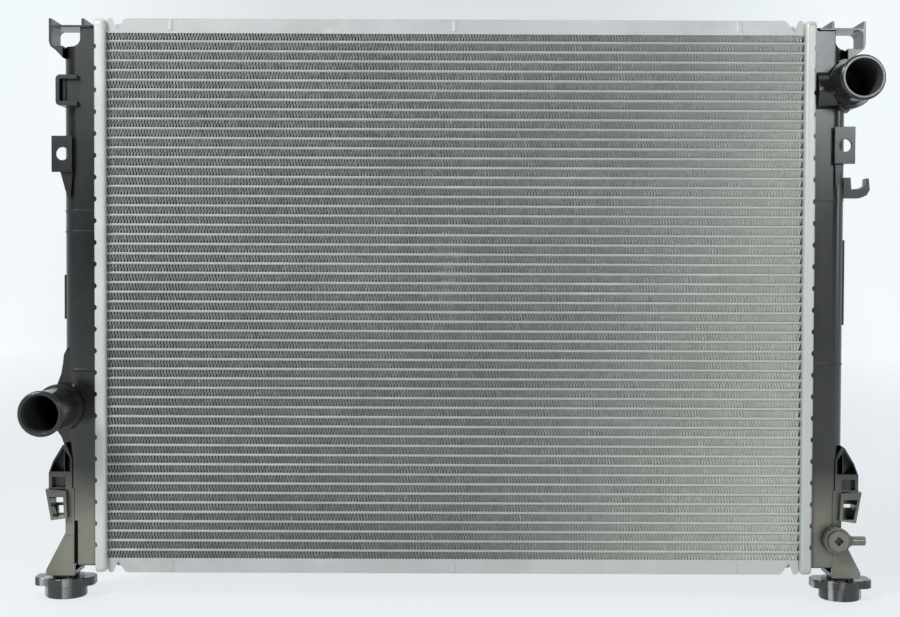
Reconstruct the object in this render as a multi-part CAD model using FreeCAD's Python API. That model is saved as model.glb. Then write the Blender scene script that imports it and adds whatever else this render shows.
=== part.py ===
"""Crossflow car radiator: brazed aluminium core, crimped plastic side tanks, rubber feet.

Row frame in millimetres: +X along the tubes, -Y the side the hose stubs point to, +Z up.
The origin is the centre of the bounding box's bottom face, at floor level under the rubber feet.
Depths are given as the distance in front of the core's middle plane, so a larger depth is
nearer the hose side. Tanks are built on the +X side, where x is the distance from the core's
centre, and the outlet tank is mirrored to -X at the end.
"""
import FreeCAD, Part
import math
import os

from FreeCAD import Vector

os.makedirs("parts", exist_ok=True)

# ---- driving dimensions -------------------------------------------------------------------
TUBE_COUNT = 54
TUBE_PITCH = 8.9
TUBE_THICK = 2.8
TUBE_WALL = 0.4
TUBES_PER_BANK = 6
FINS_PER_BANK = 5
CORE_DEPTH = 32.0
FIN_HALF_LENGTH = 321.6

HEADER_IN = 322.0                 # x of the header's core-side face
HEADER_OUT = 332.2                # x of the folded crimp tabs
HEADER_SHEET = 1.5
HEADER_HALF_DEPTH = 23.0
HEADER_HALF_HEIGHT = 256.3
CRIMP_PITCH = 20.0
CRIMP_NOTCH_R = 2.6
TUBE_PROUD = 4.0                  # how far tube ends reach into the tank

TANK_OUT = 361.8                  # x of the tank's outer wall
TANK_HALF_DEPTH = 20.5
TANK_HALF_HEIGHT = 250.3
TANK_WALL = 3.0
TANK_CORNER_R = 13.0
TANK_END_R = 2.5                  # rounding of the tank's top and bottom ends
NOTCH_FLOOR = 230.4               # the top bracket's window stands in a notch in the tank's corner
NOTCH_INNER_R = 7.5
NOTCH_OUTER_R = 3.5
GASKET_THICK = 2.4

SIDE_PLATE_HEIGHT = 13.4
SIDE_PLATE_SHEET = 1.2

CORE_Z = 282.0                    # height of the core's centre above the floor
OUTLET_REACH = 88.0               # depth of the outlet stub's mouth
INLET_REACH = 63.0                # depth of the inlet stub's mouth
CORE_Y = (OUTLET_REACH - HEADER_HALF_DEPTH) / 2

STUB_X = 364.0
OUTLET_Z = -102.3                 # stub heights from the core's centre
INLET_Z = 199.2
STUB_R = 18.8
STUB_BORE_R = 16.8
STUB_BEAD_R = 20.5
STUB_RING_R = 21.6
STUB_FLOOR = -9.5                 # depth where the stub's bore ends

FOOT_X = 364.8                    # lower isolator and leg pin
ISOLATOR_R = 19.5
ISOLATOR_TOP = 19.0
FLANGE_LOW = 11.5                 # height of the flange's underside above the floor
PIN_R = 9.0

DRAIN_X = 354.0
DRAIN_Z = -222.2
DRAIN_DEPTH = 31.0
DRAIN_BOSS_R = 12.0
DRAIN_BORE_R = 7.0
SPOUT_DEPTH = DRAIN_DEPTH - 7.5
SPOUT_Z = DRAIN_Z - 1.2
SEAL_R = 1.0                       # section radius of the drain O-ring
GROOVE_DEPTH = DRAIN_DEPTH - 11.0

TUBE_GAP = TUBE_PITCH - TUBE_THICK
STACK_HALF = (TUBE_COUNT + 1) * TUBE_PITCH / 2 - TUBE_THICK / 2


# ---- small helpers ------------------------------------------------------------------------
def block(x0, x1, near, far, z0, z1):
    """Box from x0 to x1, from depth near back to depth far, heights from the core's centre."""
    corner = Vector(x0, CORE_Y - near, CORE_Z + z0)
    return Part.makeBox(x1 - x0, near - far, z1 - z0, corner)


def prism(points, near, far):
    """Outline of (x, height) points, extruded from depth near back to depth far."""
    corners = [Vector(x, CORE_Y - near, CORE_Z + z) for x, z in points]
    wire = Part.makePolygon(corners + corners[:1])
    return Part.Face(wire).extrude(Vector(0, near - far, 0))


def rod_y(x, z, radius, near, far):
    """Cylinder along Y at (x, height), from depth near back to depth far."""
    start = Vector(x, CORE_Y - near, CORE_Z + z)
    return Part.makeCylinder(radius, near - far, start, Vector(0, 1, 0))


def rod_x(x0, x1, depth, z, radius):
    start = Vector(x0, CORE_Y - depth, CORE_Z + z)
    return Part.makeCylinder(radius, x1 - x0, start, Vector(1, 0, 0))


def rod_z(x, z0, z1, radius):
    start = Vector(x, CORE_Y, CORE_Z + z0)
    return Part.makeCylinder(radius, z1 - z0, start, Vector(0, 0, 1))


def edges_where(shape, test):
    """Straight edges whose direction and middle point pass the test."""
    found = []
    for edge in shape.Edges:
        if edge.Curve.TypeId != "Part::GeomLine":
            continue
        ends = edge.Vertexes
        way = ends[1].Point - ends[0].Point
        way.normalize()
        middle = (ends[0].Point + ends[1].Point) * 0.5
        if test(way, middle):
            found.append(edge)
    return found


def edges_at_height(shape, height):
    """Edges that lie in the level plane at this height above the floor."""
    return [edge for edge in shape.Edges
            if abs(edge.BoundBox.ZMin - height) < 0.01 and abs(edge.BoundBox.ZMax - height) < 0.01]


def round_along_y(shape, radius, test=lambda middle: True):
    return shape.makeFillet(radius, edges_where(shape, lambda way, mid: abs(way.y) > 0.99 and test(mid)))


def round_along_z(shape, radius, test=lambda middle: True):
    return shape.makeFillet(radius, edges_where(shape, lambda way, mid: abs(way.z) > 0.99 and test(mid)))


def merged(shape):
    """The shape with faces in one plane joined; on a copy, because joining disturbs its input."""
    return shape.copy().removeSplitter()


def mirrored(shape):
    return shape.mirror(Vector(0, 0, 0), Vector(1, 0, 0))


def save(name, shape):
    shape.exportStep("parts/" + name + ".step")
    print(name, len(shape.Solids), "solids", round(shape.Volume / 1000, 1), "cm3", shape.isValid())


# ---- core ---------------------------------------------------------------------------------
def obround(half_depth, half_height, x0, x1, z):
    """Flat bar with round noses, along X from x0 to x1."""
    bar = block(x0, x1, half_depth - half_height, half_height - half_depth, z - half_height, z + half_height)
    for depth in (half_depth - half_height, half_height - half_depth):
        bar = bar.fuse(rod_x(x0, x1, depth, z, half_height))
    return merged(bar)


def tube_height(index):
    return (index - (TUBE_COUNT - 1) / 2) * TUBE_PITCH


def tube(index):
    end = HEADER_IN + HEADER_SHEET + TUBE_PROUD
    half_depth = CORE_DEPTH / 2
    half_height = TUBE_THICK / 2
    outer = obround(half_depth, half_height, -end, end, tube_height(index))
    inner = obround(half_depth - TUBE_WALL, half_height - TUBE_WALL, -end - 1, end + 1, tube_height(index))
    return outer.cut(inner)


def fin(index):
    low = index * TUBE_PITCH - STACK_HALF
    half = CORE_DEPTH / 2
    return block(-FIN_HALF_LENGTH, FIN_HALF_LENGTH, half, -half, low, low + TUBE_GAP)


def banks(make, count, size):
    """The repeated pieces in groups of neighbours, counted from the bottom."""
    for bank in range(0, count, size):
        group = [make(index) for index in range(bank, min(bank + size, count))]
        yield bank // size + 1, Part.makeCompound(group)


# ---- header plates, gaskets, side plates ----------------------------------------------------
def ring_block(x0, x1, half_depth, half_height, corner_r):
    shape = block(x0, x1, half_depth, -half_depth, -half_height, half_height)
    return shape.makeFillet(corner_r, edges_where(shape, lambda way, mid: abs(way.x) > 0.99))


def header():
    """Pressed pan with a slot per tube; its rim is folded over the tank's foot as crimp tabs."""
    shell = ring_block(HEADER_IN, HEADER_OUT, HEADER_HALF_DEPTH, HEADER_HALF_HEIGHT, 6.0)
    rim = edges_where(shell, lambda way, mid: abs(way.x) < 0.01 and mid.x < HEADER_IN + 0.01)
    shell = shell.makeFillet(3.6, rim + [edge for edge in shell.Edges if arc_at(edge, HEADER_IN)])
    outer_rim = edges_where(shell, lambda way, mid: mid.x > HEADER_OUT - 0.01 and abs(way.x) < 0.01)
    shell = shell.makeFillet(2.4, outer_rim + [edge for edge in shell.Edges if arc_at(edge, HEADER_OUT)])
    sheet = HEADER_SHEET
    pan = ring_block(HEADER_IN + sheet, HEADER_OUT - sheet, HEADER_HALF_DEPTH - sheet,
                     HEADER_HALF_HEIGHT - sheet, 4.5)
    lip = 3.2
    mouth = ring_block(HEADER_OUT - sheet - 0.5, HEADER_OUT + 1, HEADER_HALF_DEPTH - lip,
                       HEADER_HALF_HEIGHT - lip, 3.0)
    shell = shell.cut(pan).cut(mouth)
    slots = []
    for index in range(TUBE_COUNT):
        slots.append(obround(CORE_DEPTH / 2 + 0.05, TUBE_THICK / 2 + 0.05, HEADER_IN - 1,
                             HEADER_IN + sheet + 1, tube_height(index)))
    notch_count = int((HEADER_HALF_HEIGHT - 12) / CRIMP_PITCH)
    for step in range(-notch_count, notch_count):
        height = (step + 0.5) * CRIMP_PITCH
        slots.append(rod_y(HEADER_OUT, height, CRIMP_NOTCH_R, HEADER_HALF_DEPTH + 1, -HEADER_HALF_DEPTH - 1))
    return shell.cut(slots)


def arc_at(edge, x):
    """True for a corner arc that lies in the plane at x."""
    box = edge.BoundBox
    return edge.Curve.TypeId == "Part::GeomCircle" and abs(box.XMin - x) < 0.01 and box.XLength < 0.01


def gasket():
    x0 = HEADER_IN + HEADER_SHEET
    half_depth = HEADER_HALF_DEPTH - HEADER_SHEET
    half_height = HEADER_HALF_HEIGHT - HEADER_SHEET
    width = 4.2
    band = ring_block(x0, x0 + GASKET_THICK, half_depth - 0.2, half_height - 0.2, 4.3)
    return band.cut(ring_block(x0 - 1, x0 + GASKET_THICK + 1, half_depth - width, half_height - width, 1.5))


def side_plate():
    """Channel along the top of the stack, cut at both ends so that the core can grow with heat."""
    half = CORE_DEPTH / 2
    low = STACK_HALF
    high = low + SIDE_PLATE_HEIGHT
    end = HEADER_IN - 0.8
    notch_x = 312.2
    plate = block(-end, end, half, -half, low, high)
    for side in (-1, 1):
        tip = low + 3.6
        outline = [(side * (notch_x - 7.0), high + 0.1), (side * (notch_x - 0.8), tip),
                   (side * (notch_x + 0.8), tip), (side * (notch_x + 4.5), high + 0.1)]
        plate = plate.cut(prism(outline, half + 1, -half - 1))
    plate = round_along_y(plate, 2.2, lambda mid: mid.z > CORE_Z + high - 1 and abs(mid.x) > notch_x)
    plate = round_along_y(plate, 5.0, lambda mid: mid.z > CORE_Z + high - 1)
    inside = block(-end - 1, end + 1, half - SIDE_PLATE_SHEET, SIDE_PLATE_SHEET - half,
                   low + SIDE_PLATE_SHEET, high + 1)
    plate = plate.cut(inside)
    for x in (-262.5, 0.0, 262.5):
        plate = plate.fuse(joggle(x, low + 3.0, high - 1.5, half))
    return plate


def joggle(x, z0, z1, half):
    """Shallow pressed rib standing proud of both flanges."""
    radius = 6.0
    proud = 0.7
    rib = rod_z(x, z0, z1, radius)
    ribs = []
    for side in (-1, 1):
        moved = rib.copy()
        moved.translate(Vector(0, side * (half + proud - radius), 0))
        keep = block(x - radius, x + radius, half + proud, half - 0.6, z0, z1)
        if side > 0:
            keep = block(x - radius, x + radius, 0.6 - half, -half - proud, z0, z1)
        ribs.append(moved.common(keep))
    return ribs[0].fuse(ribs[1])


# ---- tank parts ---------------------------------------------------------------------------
def corner_notch(shoulder_x):
    """Prism that takes away the tank's top outer corner, from shoulder_x outwards."""
    top = TANK_HALF_HEIGHT + 5.0
    turn = math.sqrt(0.5)
    inner = Vector(shoulder_x + NOTCH_INNER_R, 0, NOTCH_FLOOR + NOTCH_INNER_R)
    outer = Vector(TANK_OUT - NOTCH_OUTER_R, 0, NOTCH_FLOOR - NOTCH_OUTER_R)
    arc_in = [inner + Vector(-1, 0, 0) * NOTCH_INNER_R, inner + Vector(-turn, 0, -turn) * NOTCH_INNER_R,
              inner + Vector(0, 0, -1) * NOTCH_INNER_R]
    arc_out = [outer + Vector(0, 0, 1) * NOTCH_OUTER_R, outer + Vector(turn, 0, turn) * NOTCH_OUTER_R,
               outer + Vector(1, 0, 0) * NOTCH_OUTER_R]
    corners = [arc_out[2], Vector(TANK_OUT + 5.0, 0, arc_out[2].z), Vector(TANK_OUT + 5.0, 0, top),
               Vector(shoulder_x, 0, top), arc_in[0]]
    edges = [Part.Arc(*arc_in).toShape(), Part.makeLine(arc_in[2], arc_out[0]), Part.Arc(*arc_out).toShape()]
    edges += [Part.makeLine(a, b) for a, b in zip(corners, corners[1:])]
    face = Part.Face(Part.Wire(edges))
    face.translate(Vector(0, CORE_Y - 30.0, CORE_Z))
    return face.extrude(Vector(0, 60.0, 0))


def tank_body(shoulder_x):
    """Solid tank body with its foot, before it is hollowed."""
    half = TANK_HALF_DEPTH - 1.6
    inner_x = HEADER_IN + HEADER_SHEET + GASKET_THICK + 1
    body = block(inner_x, TANK_OUT, half, -half, -TANK_HALF_HEIGHT, TANK_HALF_HEIGHT)
    body = round_along_z(body, TANK_CORNER_R, lambda mid: mid.x > TANK_OUT - 1)
    ends = [edge for height in (CORE_Z - TANK_HALF_HEIGHT, CORE_Z + TANK_HALF_HEIGHT)
            for edge in edges_at_height(body, height) if edge.BoundBox.XMax > inner_x + 0.1]
    body = body.makeFillet(TANK_END_R, ends).cut(corner_notch(shoulder_x))
    foot = ring_block(HEADER_IN + HEADER_SHEET + GASKET_THICK, HEADER_OUT - HEADER_SHEET - 0.1,
                      HEADER_HALF_DEPTH - HEADER_SHEET - 0.1, HEADER_HALF_HEIGHT - HEADER_SHEET - 0.1, 4.4)
    return body.fuse(foot)


def cavity(top, bottom, outer):
    """Coolant space inside the tank, open towards the core."""
    half = TANK_HALF_DEPTH - 1.6 - TANK_WALL
    space = block(HEADER_IN, outer, half, -half, bottom, top)
    return round_along_z(space, TANK_CORNER_R - TANK_WALL, lambda mid: mid.x > outer - 1)


def cavities(low_outer):
    return [cavity(204.0, -198.0, TANK_OUT - TANK_WALL), cavity(246.0, 196.0, 337.0),
            cavity(-180.0, -247.0, low_outer)]


def hose_stub(z, reach):
    """Hose stub along Y with a bead at its mouth and a step ring at its foot, closed behind."""
    root = STUB_FLOOR - TANK_WALL
    stub = rod_y(STUB_X, z, STUB_R, reach, root)
    bead = Part.makeTorus(STUB_R - 0.5, STUB_BEAD_R - STUB_R + 0.5,
                          Vector(STUB_X, CORE_Y - reach + 4.0, CORE_Z + z), Vector(0, 1, 0))
    return [stub, bead, rod_y(STUB_X, z, STUB_RING_R, 28.0, root)]


def stub_bore(z, reach):
    return rod_y(STUB_X, z, STUB_BORE_R, reach + 1, STUB_FLOOR)


def top_bracket(wall_x, shoulder_x):
    """Open box in the notch at the tank's top corner, with two upright horns and a web below."""
    near = 22.0
    far = -9.0
    top = 249.3
    sheet = 2.4                    # wall thickness
    web = [(wall_x, top), (wall_x, 234.5), (wall_x - 1.4, 230.0), (wall_x - 6.4, 226.2),
           (TANK_OUT - 1.0, 219.6), (TANK_OUT - 1.0, top)]
    opening = [(TANK_OUT - 9.0, NOTCH_FLOOR), (wall_x - sheet - 1.6, NOTCH_FLOOR),
               (wall_x - sheet, NOTCH_FLOOR + 1.6), (wall_x - sheet, top - 1.9),
               (TANK_OUT - 9.0, top - 1.9)]
    window = round_along_y(prism(opening, near + 5, far - 5), 4.5,
                           lambda mid: mid.x > wall_x - 5 and mid.z > CORE_Z + top - 4)
    frame = prism(web, near, far).cut(window)
    frame = frame.fuse(block(HEADER_OUT + 2.5, wall_x - 5.0, near, far, top - 1.9, top))
    for x0 in (shoulder_x - 4.5, wall_x - sheet):
        horn = [(x0, top - 1.0), (x0 + sheet, top - 1.0), (x0 + sheet, 255.4), (x0, 255.4)]
        frame = frame.fuse(prism(horn, near, -16.0))
    return frame


def hole_tab(x0, x1, z0, z1, hole_x, hole_z, hole_r, gusset):
    """Flat tab with a hole, standing in front of the tank on a web, with a wedge below."""
    near = 25.5
    sheet = 3.4
    plate = prism([(x0, z0), (x1, z0), (x1, z1), (x0, z1)], near, near - sheet)
    plate = plate.cut(rod_y(hole_x, hole_z, hole_r, near + 1, near - sheet - 1))
    web = block(x0 + 0.3, x0 + 2.7, near - 1, 8.0, z0 + 1.0, z1 - 1.0)
    shelf = block(x0 + 0.3, TANK_OUT + 3, near - 1, 8.0, z1 - 3.6, z1 - 1.0)
    floor = block(x0 + 0.3, TANK_OUT + 3, near - 1, 8.0, z0 + 1.0, z0 + 3.6)
    return plate.fuse([web, shelf, floor, prism(gusset, near - 4, 4.0)])


def shroud_clip(windows):
    """Shroud clip low on the tank: a curved hood, a ledge and a box with deep windows in its back."""
    ledge_z = -162.5
    box_top = -178.8
    shoulder = [(TANK_OUT - 2, -136.0), (TANK_OUT + 1.0, -138.0), (371.5, -152.5), (375.6, -163.4),
                (375.6, box_top), (354.0, box_top), (354.0, -150.0)]
    hood = prism(shoulder, 19.0, -12.0)
    pocket = [(TANK_OUT + 0.3, -140.5), (370.3, -153.0), (374.2, ledge_z), (355.5, ledge_z), (355.5, -150.0)]
    hood = hood.cut(prism(pocket, 20.0, 1.0))
    hood = hood.cut(block(360.0, 372.6, 20.0, 12.0, box_top + 1.6, ledge_z - 5.0))
    rib = block(361.6, 362.6, 15.0, 0.5, ledge_z - 0.5, -141.8)
    box = prism([(377.4, -178.2), (358.4, -179.6), (357.2, -205.0), (372.4, -207.0)], 24.0, 4.0)
    inner = prism([(373.8, -185.4), (361.0, -185.4), (360.2, -203.8), (370.2, -203.8)], 25.0, 9.0)
    neck = prism([(360.2, -178.0), (352.0, -178.0), (352.0, -222.0), (360.2, -222.0), (360.2, -205.0)],
                 19.0, -12.0)
    bars = [block(x0, x1, 26.0, -7.0, z0, z1) for x0, x1, z0, z1 in windows]
    return hood.fuse([rib, neck]).fuse(box.cut(inner)).cut(bars)


def leg():
    """Foot gusset under the tank, ending in a pad and the pin that plugs into the isolator."""
    near = 18.5
    pad_z = ISOLATOR_TOP - CORE_Z
    outline = [(352.0, -200.0), (360.2, -205.0), (360.2, -219.0), (378.6, -254.4), (378.2, pad_z + 3.6),
               (352.0, pad_z + 3.6)]
    web = prism(outline, near, -near)
    relief = prism([(349.0, -224.0), (357.0, -224.0), (374.0, -255.5), (349.0, -255.5)],
                   near - 3.0, 3.0 - near)
    pad = rod_z(FOOT_X, pad_z, pad_z + 4.0, 12.5)
    pin = rod_z(FOOT_X, 6.0 - CORE_Z, pad_z + 1.0, PIN_R)
    return web.cut(relief).fuse([pad, pin])


def raised_pad(z0, z1):
    return block(TANK_OUT - 4, TANK_OUT + 1.3, 9.0, -6.0, z0, z1)


def tank_ribs(heights):
    """Low stiffening bands round the tank."""
    ribs = []
    half = TANK_HALF_DEPTH - 1.2
    for z in heights:
        band = block(HEADER_OUT + 0.5, TANK_OUT + 0.4, half, -half, z - 1.0, z + 1.0)
        ribs.append(round_along_z(band, TANK_CORNER_R, lambda mid: mid.x > TANK_OUT - 1))
    return ribs


def side_socket():
    """Loop on the tank's outer corner that holds a clip."""
    loop = round_along_y(block(347.0, 366.2, 26.0, 5.0, 175.2, 203.6), 4.0, lambda mid: mid.x > 366)
    rib = block(358.6, 359.6, 23.0, 17.0, 179.0, 200.0)
    side_slot = block(362.0, 363.0, 20.0, 9.0, 179.3, 199.7)
    return loop.cut([block(346.0, 362.8, 27.0, 19.2, 179.3, 199.7).cut(rib), side_slot])


def cable_hook():
    """J-shaped hook in the plane of the core, open upwards."""
    outline = [(358.0, 94.2), (377.0, 94.2), (383.4, 96.8), (386.4, 101.8), (385.3, 112.6), (383.0, 112.6),
               (382.6, 106.4), (378.2, 103.2), (369.2, 102.4), (368.4, 113.3), (358.0, 113.3)]
    return prism(outline, 8.0, -4.0)


def drain_boss():
    """Boss for the drain plug, with a spout beside it that takes a hose."""
    boss = rod_y(DRAIN_X, DRAIN_Z, DRAIN_BOSS_R, DRAIN_DEPTH, DRAIN_DEPTH - 22.0)
    collar = rod_x(DRAIN_X + 8.0, DRAIN_X + 13.5, SPOUT_DEPTH, SPOUT_Z, 5.3)
    spout = rod_x(DRAIN_X + 8.0, 380.6, SPOUT_DEPTH, SPOUT_Z, 4.3)
    bores = [rod_x(DRAIN_X + 4.0, 383.0, SPOUT_DEPTH, SPOUT_Z, 2.4),
             rod_y(DRAIN_X, DRAIN_Z, DRAIN_BORE_R, DRAIN_DEPTH + 1, DRAIN_DEPTH - 19.0),
             rod_y(DRAIN_X - 7.0, DRAIN_Z, 2.5, DRAIN_DEPTH - 16.0, 0.0)]
    return boss.fuse([collar, spout]).cut(bores)


def give_way(mouldings, taken):
    """Cut each moulding by everything before it, so that the solids touch without overlapping."""
    kept = {}
    for name, shape in mouldings:
        left = shape
        for other in taken:
            left = left.cut(other)
        kept[name] = merged(left)
        taken = taken + [shape]
    return kept


def outlet_parts():
    """Left-hand tank with the low hose stub, built at +X and mirrored."""
    wall_x = 373.3
    shoulder_x = 345.4
    pieces = hose_stub(OUTLET_Z, OUTLET_REACH)
    stub = pieces[0].fuse(pieces[1:])
    port = rod_x(340.0, STUB_X, 1.0, OUTLET_Z, 12.0)
    hump = prism([(TANK_OUT - 3, -48.0), (TANK_OUT, -54.0), (362.6, -62.0), (364.4, -72.0),
                  (369.0, -84.0), (379.0, -97.0), (375.4, -114.0), (364.4, -130.0),
                  (TANK_OUT, -137.0), (345.0, -130.0), (345.0, -60.0)], 17.0, -14.0)
    ridge = block(362.0, 374.6, 22.0, 6.0, -86.6, -83.6)
    extra = [hump, ridge, raised_pad(-21.0, 20.0)] + tank_ribs([60.0, 79.0, -68.0])
    body = tank_body(shoulder_x).fuse(extra)
    tab = hole_tab(351.6, 370.2, 114.5, 147.6, 360.6, 131.3, 6.0,
                   [(352.0, 116.0), (363.6, 116.0), (357.0, 92.0), (354.0, 92.0)])
    clip = shroud_clip([(362.0, 372.6, -193.0, -188.0), (362.0, 370.0, -203.0, -195.4)])

    hollow = [stub_bore(OUTLET_Z, OUTLET_REACH), port] + cavities(345.6)
    slot = block(348.6, 352.0, 20.0, 9.0, -251.0, -208.0)
    parts = {"outlet_stub": stub.cut(hollow),
             "outlet_tank": merged(body.cut([stub, slot] + hollow))}
    parts.update(give_way([("outlet_top_bracket", top_bracket(wall_x, shoulder_x)), ("outlet_tab", tab),
                           ("outlet_shroud_clip", clip), ("outlet_leg", leg()),
                           ("outlet_side_socket", side_socket())], [stub, body]))
    return {name: mirrored(shape) for name, shape in parts.items()}


def inlet_parts():
    """Right-hand tank with the high hose stub, the cable hook and the drain boss."""
    wall_x = 376.8
    shoulder_x = 350.1
    pieces = hose_stub(INLET_Z, INLET_REACH)
    stub = pieces[0].fuse(pieces[1:])
    port = rod_x(340.0, STUB_X, 1.0, 196.0, 12.0)
    boss_room = rod_y(DRAIN_X, DRAIN_Z, DRAIN_BOSS_R, DRAIN_DEPTH, DRAIN_DEPTH - 22.0)
    saddle = rod_x(HEADER_OUT + 1.0, STUB_X, 9.0, 192.2, 19.5)
    backing = rod_y(STUB_X, INLET_Z, STUB_RING_R + 1.6, 18.0, STUB_FLOOR - TANK_WALL)
    stud = rod_y(354.6, 177.0, 2.9, 28.0, 8.0)
    extra = [saddle, backing, stud, raised_pad(-24.0, 55.0)] + tank_ribs([-60.0, 92.0])
    body = tank_body(shoulder_x).fuse(extra)
    tab = hole_tab(348.6, 367.4, 124.8, 158.8, 358.4, 141.6, 5.8,
                   [(350.0, 126.0), (358.5, 126.0), (352.8, 103.0), (350.8, 103.0)])

    clip = shroud_clip([(362.0, 372.6, -195.2, -191.6)])
    boss = drain_boss()

    hollow = [stub_bore(INLET_Z, INLET_REACH), port] + cavities(349.5)
    parts = {"inlet_stub": stub.cut(hollow),
             "drain_boss": boss,
             "inlet_tank": merged(body.cut([stub, boss_room] + hollow))}
    parts.update(give_way([("inlet_top_bracket", top_bracket(wall_x, shoulder_x)), ("inlet_tab", tab),
                           ("inlet_shroud_clip", clip), ("inlet_leg", leg()),
                           ("cable_hook", cable_hook())], [stub, body, boss_room, boss]))
    return parts


# ---- feet and drain -------------------------------------------------------------------------
def isolator():
    """Rubber foot: round body, oblong flange across the top, and a socket for the leg pin."""
    floor = -CORE_Z
    top = ISOLATOR_TOP - CORE_Z
    flange = FLANGE_LOW - CORE_Z
    body = rod_z(FOOT_X, floor, flange, ISOLATOR_R)
    body = body.makeFillet(2.0, edges_at_height(body, 0.0))
    hub = rod_z(FOOT_X, flange, top, ISOLATOR_R + 0.8)
    hub = hub.makeFillet(1.2, edges_at_height(hub, ISOLATOR_TOP))
    lobe = block(FOOT_X - 28.0, FOOT_X + 28.0, 14.0, -14.0, flange, top)
    lobe = round_along_z(lobe, 10.0)
    lobe = lobe.makeFillet(1.2, edges_at_height(lobe, ISOLATOR_TOP))
    shape = merged(body.fuse([hub, lobe]))
    return shape.cut(rod_z(FOOT_X, 5.5 - CORE_Z, top + 1, PIN_R + 0.05))


def drain_plug():
    """Turning plug: head with a square drive recess, stem with an O-ring groove."""
    head = rod_y(DRAIN_X, DRAIN_Z, 9.4, DRAIN_DEPTH + 3.2, DRAIN_DEPTH + 0.3)
    stem = rod_y(DRAIN_X, DRAIN_Z, DRAIN_BORE_R - 0.06, DRAIN_DEPTH + 1, DRAIN_DEPTH - 17.0)
    plug = head.fuse(stem)
    groove = rod_y(DRAIN_X, DRAIN_Z, DRAIN_BORE_R + 1, GROOVE_DEPTH + 1.5, GROOVE_DEPTH - 1.5)
    groove = groove.cut(rod_y(DRAIN_X, DRAIN_Z, DRAIN_BORE_R - 2.2, GROOVE_DEPTH + 2, GROOVE_DEPTH - 2))
    reach = 4.6
    recess = prism([(DRAIN_X - reach, DRAIN_Z), (DRAIN_X, DRAIN_Z + reach), (DRAIN_X + reach, DRAIN_Z),
                    (DRAIN_X, DRAIN_Z - reach)], DRAIN_DEPTH + 4, DRAIN_DEPTH - 0.5)
    return merged(plug.cut(groove).cut(recess))


def drain_seal():
    centre = Vector(DRAIN_X, CORE_Y - GROOVE_DEPTH, CORE_Z + DRAIN_Z)
    return Part.makeTorus(DRAIN_BORE_R - SEAL_R - 0.08, SEAL_R, centre, Vector(0, 1, 0))


# ---- write one file per node ------------------------------------------------------------------
for number, group in banks(tube, TUBE_COUNT, TUBES_PER_BANK):
    save("tube_bank_%d" % number, group)

for number, group in banks(fin, TUBE_COUNT + 1, FINS_PER_BANK):
    save("fin_bank_%d" % number, group)

inlet_header = header()
save("inlet_header", inlet_header)
save("outlet_header", mirrored(inlet_header))
inlet_gasket = gasket()
save("inlet_gasket", inlet_gasket)
save("outlet_gasket", mirrored(inlet_gasket))

top_plate = side_plate()
save("top_side_plate", top_plate)
save("bottom_side_plate", top_plate.mirror(Vector(0, 0, CORE_Z), Vector(0, 0, 1)))

for name, shape in {**inlet_parts(), **outlet_parts()}.items():
    save(name, shape)

inlet_isolator = isolator()
save("inlet_isolator", inlet_isolator)
save("outlet_isolator", mirrored(inlet_isolator))
save("drain_plug", drain_plug())
save("drain_seal", drain_seal())
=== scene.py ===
"""Looks for the crossflow car radiator: corrugated fins, metal, plastic and rubber finishes, studio."""
import math

import bpy
from mathutils import Matrix, Vector, noise


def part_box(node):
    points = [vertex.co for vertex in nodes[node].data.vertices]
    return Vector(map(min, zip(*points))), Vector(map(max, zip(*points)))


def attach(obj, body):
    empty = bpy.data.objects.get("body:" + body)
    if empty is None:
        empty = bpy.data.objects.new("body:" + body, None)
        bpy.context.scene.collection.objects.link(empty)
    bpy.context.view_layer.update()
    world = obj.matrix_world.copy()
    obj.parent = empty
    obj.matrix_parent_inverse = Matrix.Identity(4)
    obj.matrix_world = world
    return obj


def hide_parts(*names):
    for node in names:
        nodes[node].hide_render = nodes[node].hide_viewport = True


MM = 0.001
FIN_BANKS = 11
FINS_PER_BANK = 5
TUBES_AND_FINS = 2 * FINS_PER_BANK
# Painted shade: below these depths the fins' colour turns dark
PAINTED_CORE_SHADE = (7 * MM, 2.5 * MM)    # how deep below a core face the fins turn dark, end and start
HOSE_STUBS = ("inlet_stub", "outlet_stub")
BORE_RADIUS = 17.2 * MM           # a hose stub's inside, with a little to spare

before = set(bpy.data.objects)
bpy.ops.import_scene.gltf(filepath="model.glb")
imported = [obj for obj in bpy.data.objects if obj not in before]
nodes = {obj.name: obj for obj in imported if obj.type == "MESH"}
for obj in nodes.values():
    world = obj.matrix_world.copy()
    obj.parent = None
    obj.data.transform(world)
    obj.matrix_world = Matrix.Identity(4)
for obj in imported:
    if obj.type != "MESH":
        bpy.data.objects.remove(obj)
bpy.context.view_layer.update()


# ---- where things are -----------------------------------------------------------------------
tube_low, tube_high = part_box("tube_bank_1")
fin_low, fin_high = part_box("fin_bank_1")
TUBE_PITCH = ((tube_high[2] - tube_low[2]) + (fin_high[2] - fin_low[2])) / TUBES_AND_FINS
TUBE_THICK = (tube_high[2] - tube_low[2]) - FINS_PER_BANK * TUBE_PITCH
FIN_HEIGHT = TUBE_PITCH - TUBE_THICK
CORE_FRONT = fin_low[1]
CORE_Y = (fin_low[1] + fin_high[1]) / 2
CORE_HALF_DEPTH = (fin_high[1] - fin_low[1]) / 2
CORE_MIDDLE_Z = (fin_low[2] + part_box("fin_bank_%d" % FIN_BANKS)[1][2]) / 2


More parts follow.
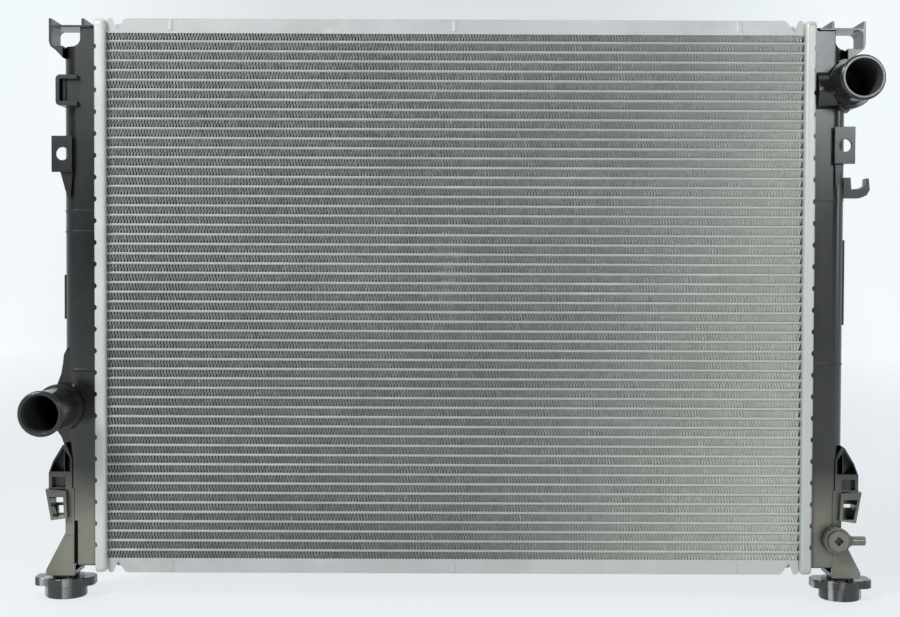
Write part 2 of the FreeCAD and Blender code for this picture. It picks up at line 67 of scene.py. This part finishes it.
# ---- material helpers -----------------------------------------------------------------------
class Nodes:
    """Short calls for building one material's node tree."""

    def __init__(self, name):
        self.material = bpy.data.materials.new(name)
        self.material.use_nodes = True
        self.tree = self.material.node_tree
        self.shader = self.tree.nodes["Principled BSDF"]
        self.place = self.add("ShaderNodeTexCoord").outputs["Object"]

    def add(self, kind, **values):
        node = self.tree.nodes.new(kind)
        for key, value in values.items():
            if hasattr(node, key):
                setattr(node, key, value)
            else:
                node.inputs[key.replace("_", " ")].default_value = value
        return node

    def link(self, source, target):
        self.tree.links.new(source, target)
        return target

    def stretched(self, x, y, z):
        mapping = self.add("ShaderNodeMapping")
        mapping.inputs["Scale"].default_value = (x, y, z)
        self.link(self.place, mapping.inputs["Vector"])
        return mapping.outputs["Vector"]

    def noise(self, scale, detail=3.0, rough=0.55, vector=None):
        node = self.add("ShaderNodeTexNoise", Scale=scale, Detail=detail, Roughness=rough)
        self.link(vector or self.place, node.inputs["Vector"])
        return node.outputs["Fac"]

    def along(self, axis):
        split = self.add("ShaderNodeSeparateXYZ")
        self.link(self.place, split.inputs["Vector"])
        return split.outputs[axis]

    def sum(self, first, second, scale=1.0):
        """first + second * scale."""
        node = self.add("ShaderNodeMath", operation="MULTIPLY_ADD")
        self.link(second, node.inputs[0])
        node.inputs[1].default_value = scale
        self.link(first, node.inputs[2])
        return node.outputs["Value"]

    def mix(self, factor, first, second):
        """Colour from first to second; each argument is a value or a socket."""
        node = self.add("ShaderNodeMix", data_type="RGBA", blend_type="MIX")
        sockets = (node.inputs[0], node.inputs[6], node.inputs[7])
        for socket, value in zip(sockets, (factor, first, second)):
            if hasattr(value, "links"):
                self.link(value, socket)
            else:
                socket.default_value = value
        return node.outputs[2]

    def spread(self, source, low, high, start=0.3, end=0.7):
        """Low to high as the source goes from start to end, held outside that."""
        node = self.add("ShaderNodeMapRange")
        self.link(source, node.inputs["Value"])
        for key, value in (("From Min", start), ("From Max", end), ("To Min", low), ("To Max", high)):
            node.inputs[key].default_value = value
        return node.outputs["Result"]

    def bump(self, height, distance, strength=1.0, normal=None):
        node = self.add("ShaderNodeBump", Distance=distance, Strength=strength)
        self.link(height, node.inputs["Height"])
        if normal is not None:
            self.link(normal, node.inputs["Normal"])
        return node.outputs["Normal"]

    def set(self, **values):
        for key, value in values.items():
            self.shader.inputs[key.replace("_", " ")].default_value = value

    def feed(self, key, source):
        self.link(source, self.shader.inputs[key])


def flux_and_painted_light(m):
    """How much pale brazing flux stain and painted light lie towards the lower inlet corner, rising towards
    the lower right.
    """
    # partly a real flux stain, partly painted light: lighter towards the lower right
    slope = m.sum(m.along("X"), m.along("Z"), -0.45)
    return m.sum(m.spread(slope, 0.0, 1.0, -0.02, 0.30), m.noise(3.0, 2.0), 0.12)


def cast_aluminium(name, light, dark, haze, rough, streak_axis, metallic):
    """Brazed or pressed aluminium: cloudy oxide, fine draw lines, pale flux stains, and a flux stain with
    painted light towards the lower inlet corner.
    """
    m = Nodes(name)
    m.set(Metallic=metallic)
    cloud = m.noise(22.0, 5.0)
    fine = m.noise(240.0, 4.0)
    along = [900.0, 900.0, 900.0]
    along[streak_axis] = 12.0
    lines = m.noise(1.0, 3.0, vector=m.stretched(*along))
    tint = m.mix(m.spread(cloud, 0.0, 1.0), (*dark, 1), (*light, 1))
    tint = m.mix(m.spread(lines, 0.0, 0.35), tint, (*dark, 1))
    stain = m.spread(m.noise(9.0, 6.0, 0.65), 0.0, 0.4, 0.6, 0.74)
    tint = m.mix(stain, tint, (0.66, 0.66, 0.62, 1))
    # flux stain and painted light: towards the lower inlet corner the colour goes over to the haze colour
    m.feed("Base Color", m.mix(flux_and_painted_light(m), tint, (*haze, 1)))
    m.feed("Roughness", m.spread(fine, rough - 0.05, rough + 0.09))
    normal = m.bump(lines, 0.00006)
    m.feed("Normal", m.bump(fine, 0.00012, normal=normal))
    return m.material


def moulded_nylon(name, base, haze, rough):
    """Glass-filled nylon: fine grain, faint flow clouds, painted shade in corners and a painted sheen low
    down.
    """
    m = Nodes(name)
    grain = m.noise(1500.0, 2.0)
    flow = m.noise(14.0, 5.0, vector=m.stretched(1.0, 1.0, 0.35))
    speck = m.noise(420.0, 2.0)
    tint = m.mix(m.spread(flow, 0.0, 1.0, 0.35, 0.75), (*base, 1), (*haze, 1))
    tint = m.mix(m.spread(speck, 0.0, 0.35, 0.66, 0.8), tint, (0.11, 0.115, 0.11, 1))
    # painted sheen: a lighter olive colour low down, standing in for light from the pale table
    low = m.spread(m.along("Z"), 1.0, 0.0, 0.075, 0.125)
    painted_sheen = m.mix(m.spread(flow, 0.35, 1.0), (0, 0, 0, 1), low)
    tint = m.mix(painted_sheen, tint, (0.20, 0.20, 0.155, 1))
    # painted shade: the colour goes near black in corners and beside protruding parts
    corner = m.add("ShaderNodeAmbientOcclusion", samples=8, only_local=False)
    corner.inputs["Distance"].default_value = 45 * MM
    clear_of_painted_shade = m.spread(corner.outputs["AO"], 0.0, 1.0, 0.35, 0.85)
    m.feed("Base Color", m.mix(clear_of_painted_shade, (0.002, 0.002, 0.002, 1), tint))
    m.feed("Roughness", m.spread(flow, rough - 0.04, rough + 0.06))
    m.set(IOR=1.56)
    edge = m.add("ShaderNodeBevel", samples=4)
    edge.inputs["Radius"].default_value = 0.8 * MM
    m.feed("Normal", m.bump(grain, 0.00003, 0.3, normal=edge.outputs["Normal"]))
    return m.material


def bore_wall(name):
    """Unlit inside of a hose stub: painted shade, black nylon without any sheen."""
    m = Nodes(name)
    m.feed("Base Color", m.mix(m.noise(90.0), (0.045, 0.05, 0.049, 1), (0.065, 0.07, 0.068, 1)))
    m.set(Roughness=0.95, Specular_IOR_Level=0.0)
    return m.material


def moulded_rubber(name):
    """Shiny black rubber with painted upright highlight streaks."""
    m = Nodes(name)
    wear = m.noise(60.0, 4.0)
    grain = m.noise(1100.0, 2.0)
    # painted highlights: pale upright streaks in place of reflections
    painted_streaks = m.spread(m.noise(1.0, 1.0, vector=m.stretched(85.0, 85.0, 4.0)), 0.0, 0.9, 0.54, 0.64)
    tint = m.mix(m.spread(wear, 0.0, 1.0), (0.008, 0.008, 0.009, 1), (0.018, 0.018, 0.019, 1))
    m.feed("Base Color", m.mix(painted_streaks, tint, (0.30, 0.31, 0.31, 1)))
    m.feed("Roughness", m.spread(wear, 0.16, 0.30))
    m.set(IOR=1.6)
    m.feed("Normal", m.bump(grain, 0.00003))
    return m.material


def fin_metal(name):
    """Thin fin strip: dull foil with painted shade deep in the core, painted highlights on a few fins as if
    bent, and a flux stain with painted light towards the lower inlet corner.
    """
    m = Nodes(name)
    m.set(Metallic=0.8)
    cloud = m.noise(7.0, 4.0)
    fine = m.noise(260.0, 3.0)
    # painted highlights: a few thin upright lines drawn bright, as bent fins catching the light
    painted_glints = m.noise(1.0, 2.0, vector=m.stretched(620.0, 8.0, 60.0))
    tint = m.mix(m.spread(cloud, 0.0, 1.0), (0.33, 0.36, 0.345, 1), (0.44, 0.47, 0.44, 1))
    tint = m.mix(m.spread(fine, 0.0, 0.4), tint, (0.74, 0.76, 0.74, 1))
    # flux stain and painted light: the fins go nearly white towards the lower inlet corner
    tint = m.mix(m.sum(flux_and_painted_light(m), m.noise(2.0, 1.0), 0.1), tint, (0.98, 0.98, 0.90, 1))
    tint = m.mix(m.spread(painted_glints, 0.0, 0.9, 0.66, 0.74), tint, (0.86, 0.87, 0.84, 1))
    from_middle = m.add("ShaderNodeMath", operation="SUBTRACT")
    m.link(m.along("Y"), from_middle.inputs[0])
    from_middle.inputs[1].default_value = CORE_Y
    depth = m.add("ShaderNodeMath", operation="ABSOLUTE")
    m.link(from_middle.outputs["Value"], depth.inputs[0])
    # painted shade: deeper inside the core the colour goes dark, where the channels lie in shade
    dark, lit = (CORE_HALF_DEPTH - below for below in PAINTED_CORE_SHADE)
    inside = m.spread(depth.outputs["Value"], 1.0, 0.0, dark, lit)
    m.feed("Base Color", m.mix(inside, tint, (0.03, 0.033, 0.032, 1)))
    m.feed("Roughness", m.spread(fine, 0.36, 0.54))
    return m.material


TUBE = cast_aluminium("tube_metal", light=(0.33, 0.36, 0.345), dark=(0.25, 0.28, 0.265),
                      haze=(0.38, 0.40, 0.375), rough=0.45, streak_axis=0, metallic=0.15)
FIN = fin_metal("fin_metal")
BRAZE = cast_aluminium("braze_metal", light=(0.42, 0.45, 0.43), dark=(0.32, 0.35, 0.33),
                       haze=(0.46, 0.48, 0.45), rough=0.45, streak_axis=1, metallic=0.15)
HEADER = cast_aluminium("header_metal", light=(0.54, 0.56, 0.52), dark=(0.44, 0.46, 0.43),
                        haze=(0.40, 0.43, 0.415), rough=0.40, streak_axis=2, metallic=0.3)
PLATE = cast_aluminium("plate_metal", light=(0.43, 0.45, 0.44), dark=(0.34, 0.36, 0.35),
                       haze=(0.42, 0.44, 0.42), rough=0.45, streak_axis=0, metallic=0.2)
TANK = moulded_nylon("tank_nylon", (0.005, 0.006, 0.006), (0.011, 0.012, 0.012), 0.20)
PLUG = moulded_nylon("plug_nylon", (0.008, 0.009, 0.010), (0.014, 0.015, 0.015), 0.27)
BORE = bore_wall("bore_nylon")
RUBBER = moulded_rubber("foot_rubber")
SEAL = moulded_rubber("seal_rubber")

FINISHES = {"tube_bank": TUBE, "fin_bank": FIN, "header": HEADER, "side_plate": PLATE, "gasket": SEAL,
            "isolator": RUBBER, "drain_plug": PLUG, "drain_seal": SEAL}


def dress(node_name):
    """Give a CAD piece its finish; whatever isn't in the list is moulded with the tanks."""
    finish = next((FINISHES[key] for key in FINISHES if key in node_name), TANK)
    piece = nodes[node_name]
    piece.data.materials.clear()
    piece.data.materials.append(finish)


def blacken_bore(node_name):
    """Give the faces inside a hose stub the unlit finish."""
    low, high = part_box(node_name)
    piece = nodes[node_name]
    piece.data.materials.append(BORE)
    for face in piece.data.polygons:
        middle = piece.matrix_world @ face.center
        radius = math.hypot(middle.x - (low[0] + high[0]) / 2, middle.z - (low[2] + high[2]) / 2)
        if radius < BORE_RADIUS:
            face.material_index = 1


for node_name in nodes:
    dress(node_name)
for node_name in HOSE_STUBS:
    blacken_bore(node_name)


# ---- corrugated fins ------------------------------------------------------------------------
WAVE = 2.84 * MM                 # length of one full fin wave
FOIL = 0.26 * MM                 # foil as seen, with its louvres
LEAN = 1.5 * MM                  # how far the fins lean along the strip
FOLD = 4.0 * MM                  # depth of one fold of the herringbone
SWAY = 1.6 * MM                  # how far a fold steps sideways
LOW_FOLD = (0.05, 0.20)          # where in a wave the foil lies on the lower tube
HIGH_FOLD = (0.66, 0.84)         # and on the upper one
FACE_GAP = 0.15 * MM             # from the core's face to the foil's edge


def wave_line(low, high, x0, x1, seed):
    """Points of the folded foil's middle line, from x0 to x1, leaning a little this way and that."""
    count = int(round((x1 - x0) / WAVE))
    step = (x1 - x0) / count
    line = []
    for index in range(count):
        x = x0 + index * step
        slow = noise.noise(Vector((x * 20.0, seed * 3.1, 0.0)))
        quick = noise.noise(Vector((x * 160.0, seed * 7.7, 5.0)))
        shift = LEAN * (0.25 + slow * 0.9 + 0.25 * quick) / 2
        line.extend((x + part * step - shift, low) for part in LOW_FOLD)
        line.extend((x + part * step + shift, high) for part in HIGH_FOLD)
    return line


def offset_line(line, distance):
    """The same line moved sideways by a distance, with mitred corners."""
    moved = []
    for index, (x, z) in enumerate(line):
        before = line[max(index - 1, 0)]
        after = line[min(index + 1, len(line) - 1)]
        into = Vector((x - before[0], z - before[1]))
        out = Vector((after[0] - x, after[1] - z))
        into = into.normalized() if into.length > 0 else out.normalized()
        out = out.normalized() if out.length > 0 else into
        side = Vector((-(into.y + out.y), into.x + out.x)).normalized()
        cosine = max(0.5, abs(side.dot(Vector((-out.y, out.x)))))
        moved.append((x + side.x * distance / cosine, z + side.y * distance / cosine))
    return moved


def add_ribbon(verts, faces, line, ends, front, back):
    """Closed foil strip along a line, folded from side to side between the front and back planes.

    Returns the numbers of the faces on the flat folds, which are brazed to the tubes.
    """
    rows = int(round((back - front) / FOLD)) + 1
    base = len(verts)
    for row in range(rows):
        y = front + (back - front) * row / (rows - 1)
        sway = -SWAY * (row % 2)
        for distance in (FOIL / 2, -FOIL / 2):
            verts.extend((min(max(x + sway, ends[0]), ends[1]), y, z)
                         for x, z in offset_line(line, distance))
    count = len(line)
    first = len(faces)

    def at(row, side, index):
        return base + (2 * row + side) * count + index

    for index in range(count - 1):
        after = index + 1
        for row in range(rows - 1):
            faces.append((at(row, 0, index), at(row, 0, after), at(row + 1, 0, after), at(row + 1, 0, index)))
            faces.append((at(row, 1, after), at(row, 1, index), at(row + 1, 1, index), at(row + 1, 1, after)))
        faces.append((at(0, 1, index), at(0, 1, after), at(0, 0, after), at(0, 0, index)))
        end = rows - 1
        faces.append((at(end, 0, index), at(end, 0, after), at(end, 1, after), at(end, 1, index)))
    for row in range(rows - 1):
        for index in (0, count - 1):
            below = row + 1
            faces.append((at(row, 0, index), at(below, 0, index), at(below, 1, index), at(row, 1, index)))
    per_index = 2 * rows
    return [first + index * per_index + offset
            for index in range(0, count - 1, 2) for offset in range(per_index)]


def fin_bank(number):
    """One piece for a bank of fin strips, in place of its solid slabs."""
    low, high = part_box("fin_bank_%d" % number)
    verts = []
    faces = []
    brazed = []
    for strip in range(FINS_PER_BANK):
        bottom = low[2] + strip * TUBE_PITCH + FOIL / 2
        top = bottom + FIN_HEIGHT - FOIL
        line = wave_line(bottom, top, low[0], high[0], number * 10 + strip)
        brazed += add_ribbon(verts, faces, line, (low[0], high[0]), low[1] + FACE_GAP, high[1] - FACE_GAP)
    mesh = bpy.data.meshes.new("fins_%d" % number)
    mesh.from_pydata(verts, [], faces)
    mesh.materials.append(FIN)
    mesh.materials.append(BRAZE)
    for face in brazed:
        mesh.polygons[face].material_index = 1
    piece = bpy.data.objects.new("fins_%d" % number, mesh)
    bpy.context.scene.collection.objects.link(piece)
    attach(piece, "radiator")
    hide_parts("fin_bank_%d" % number)


for number in range(1, FIN_BANKS + 1):
    fin_bank(number)


# ---- studio ---------------------------------------------------------------------------------
def look_along(place, pitch, yaw, roll):
    """Matrix of a camera at place that looks along +Y, tipped down by pitch and rolled clockwise."""
    forward = Vector((math.sin(yaw) * math.cos(pitch), math.cos(yaw) * math.cos(pitch), -math.sin(pitch)))
    right = Vector((math.cos(yaw), -math.sin(yaw), 0.0))
    up = right.cross(forward)
    tilted_right = math.cos(roll) * right + math.sin(roll) * up
    tilted_up = math.cos(roll) * up - math.sin(roll) * right
    turn = Matrix((tilted_right, tilted_up, -forward)).transposed().to_4x4()
    return Matrix.Translation(place) @ turn


CAMERA_DISTANCE = 1.2974          # from the core's front face
CAMERA_ASIDE = -0.0049
CAMERA_ABOVE = 0.0238             # the core's middle
CAMERA_PITCH = 0.0259
CAMERA_YAW = 0.0007
CAMERA_ROLL = 0.0039
camera_data = bpy.data.cameras.new("camera")
camera_data.sensor_width = 36.0
camera_data.lens = 56.0
camera_data.clip_end = 50.0
camera = bpy.data.objects.new("camera", camera_data)
camera_place = (CAMERA_ASIDE, CORE_FRONT - CAMERA_DISTANCE, CORE_MIDDLE_Z + CAMERA_ABOVE)
camera.matrix_world = look_along(camera_place, CAMERA_PITCH, CAMERA_YAW, CAMERA_ROLL)
bpy.context.scene.collection.objects.link(camera)
bpy.context.scene.camera = camera


def sweep():
    """Pale table that curves up into a backdrop far behind the radiator; it glows with painted light, a
    little brighter in front and towards the sides.
    """
    radius = 1.2
    back = 4.0
    steps = 12
    outline = [(-6.0, 0.0), (back, 0.0)]
    for step in range(1, steps + 1):
        angle = math.radians(step * 90 / steps)
        outline.append((back + radius * math.sin(angle), radius - radius * math.cos(angle)))
    outline.append((back + radius, 7.0))
    verts = [(side * 8.0, y, z) for y, z in outline for side in (-1, 1)]
    faces = [(2 * i, 2 * i + 1, 2 * i + 3, 2 * i + 2) for i in range(len(outline) - 1)]
    mesh = bpy.data.meshes.new("sweep")
    mesh.from_pydata(verts, [], faces)
    mesh.shade_smooth()
    m = Nodes("paper")
    m.set(Roughness=0.9)
    m.feed("Base Color", m.mix(m.noise(1.2, 2.0), (0.10, 0.105, 0.11, 1), (0.13, 0.135, 0.14, 1)))
    m.feed("Emission Color", m.mix(m.noise(0.9, 1.0), (0.85, 0.91, 0.93, 1), (0.90, 0.94, 0.97, 1)))
    aside = m.add("ShaderNodeMath", operation="ABSOLUTE")
    m.link(m.along("X"), aside.inputs[0])
    # painted light: the glow is brighter towards the sides
    glow = m.spread(aside.outputs["Value"], 0.72, 0.93, 0.7, 1.8)
    # painted pool of light: the table glows brighter in front of the radiator
    table = m.spread(m.along("Y"), 0.25, 0.0, -1.2, 0.2)
    m.feed("Emission Strength", m.sum(glow, table))
    mesh.materials.append(m.material)
    piece = bpy.data.objects.new("sweep", mesh)
    bpy.context.scene.collection.objects.link(piece)


def softbox(name, place, aim, size, power, tint=(1.0, 1.0, 1.0)):
    """Rectangular studio light at a place, turned towards a point."""
    data = bpy.data.lights.new(name, "AREA")
    data.shape = "RECTANGLE"
    data.size, data.size_y = size
    data.energy = power
    data.color = tint
    lamp = bpy.data.objects.new(name, data)
    way = Vector(aim) - Vector(place)
    lamp.matrix_world = Matrix.Translation(place) @ way.to_track_quat("-Z", "Y").to_matrix().to_4x4()
    bpy.context.scene.collection.objects.link(lamp)


sweep()
softbox("key", (-1.7, -1.9, 2.0), (0, 0, 0.28), (0.9, 0.9), 88)
softbox("window", (1.2, -3.0, 1.10), (0.36, 0, 0.48), (0.66, 0.66), 18, (0.92, 0.98, 1.0))
softbox("far window", (-1.25, -3.0, 1.15), (-0.36, 0, 0.48), (0.9, 0.8), 5, (0.92, 0.98, 1.0))
softbox("side", (2.6, -0.9, 0.9), (0.3, 0, 0.28), (0.8, 1.2), 12)
softbox("top", (0.0, 0.2, 3.0), (0, 0.2, 0), (2.5, 2.5), 14)


def room():
    """Even pale light from behind and above, dimmer from the camera's side."""
    world = bpy.data.worlds.new("studio")
    world.use_nodes = True
    tree = world.node_tree
    place = tree.nodes.new("ShaderNodeTexCoord")
    split = tree.nodes.new("ShaderNodeSeparateXYZ")
    tree.links.new(place.outputs["Generated"], split.inputs["Vector"])
    depth = tree.nodes.new("ShaderNodeMapRange")
    for key, value in (("From Min", -0.6), ("From Max", 0.3), ("To Min", 0.12), ("To Max", 0.90)):
        depth.inputs[key].default_value = value
    tree.links.new(split.outputs["Y"], depth.inputs["Value"])
    background = tree.nodes["Background"]
    background.inputs["Color"].default_value = (0.95, 0.985, 1.0, 1.0)
    tree.links.new(depth.outputs["Result"], background.inputs["Strength"])
    bpy.context.scene.world = world


room()
bpy.context.scene.view_settings.view_transform = "Standard"
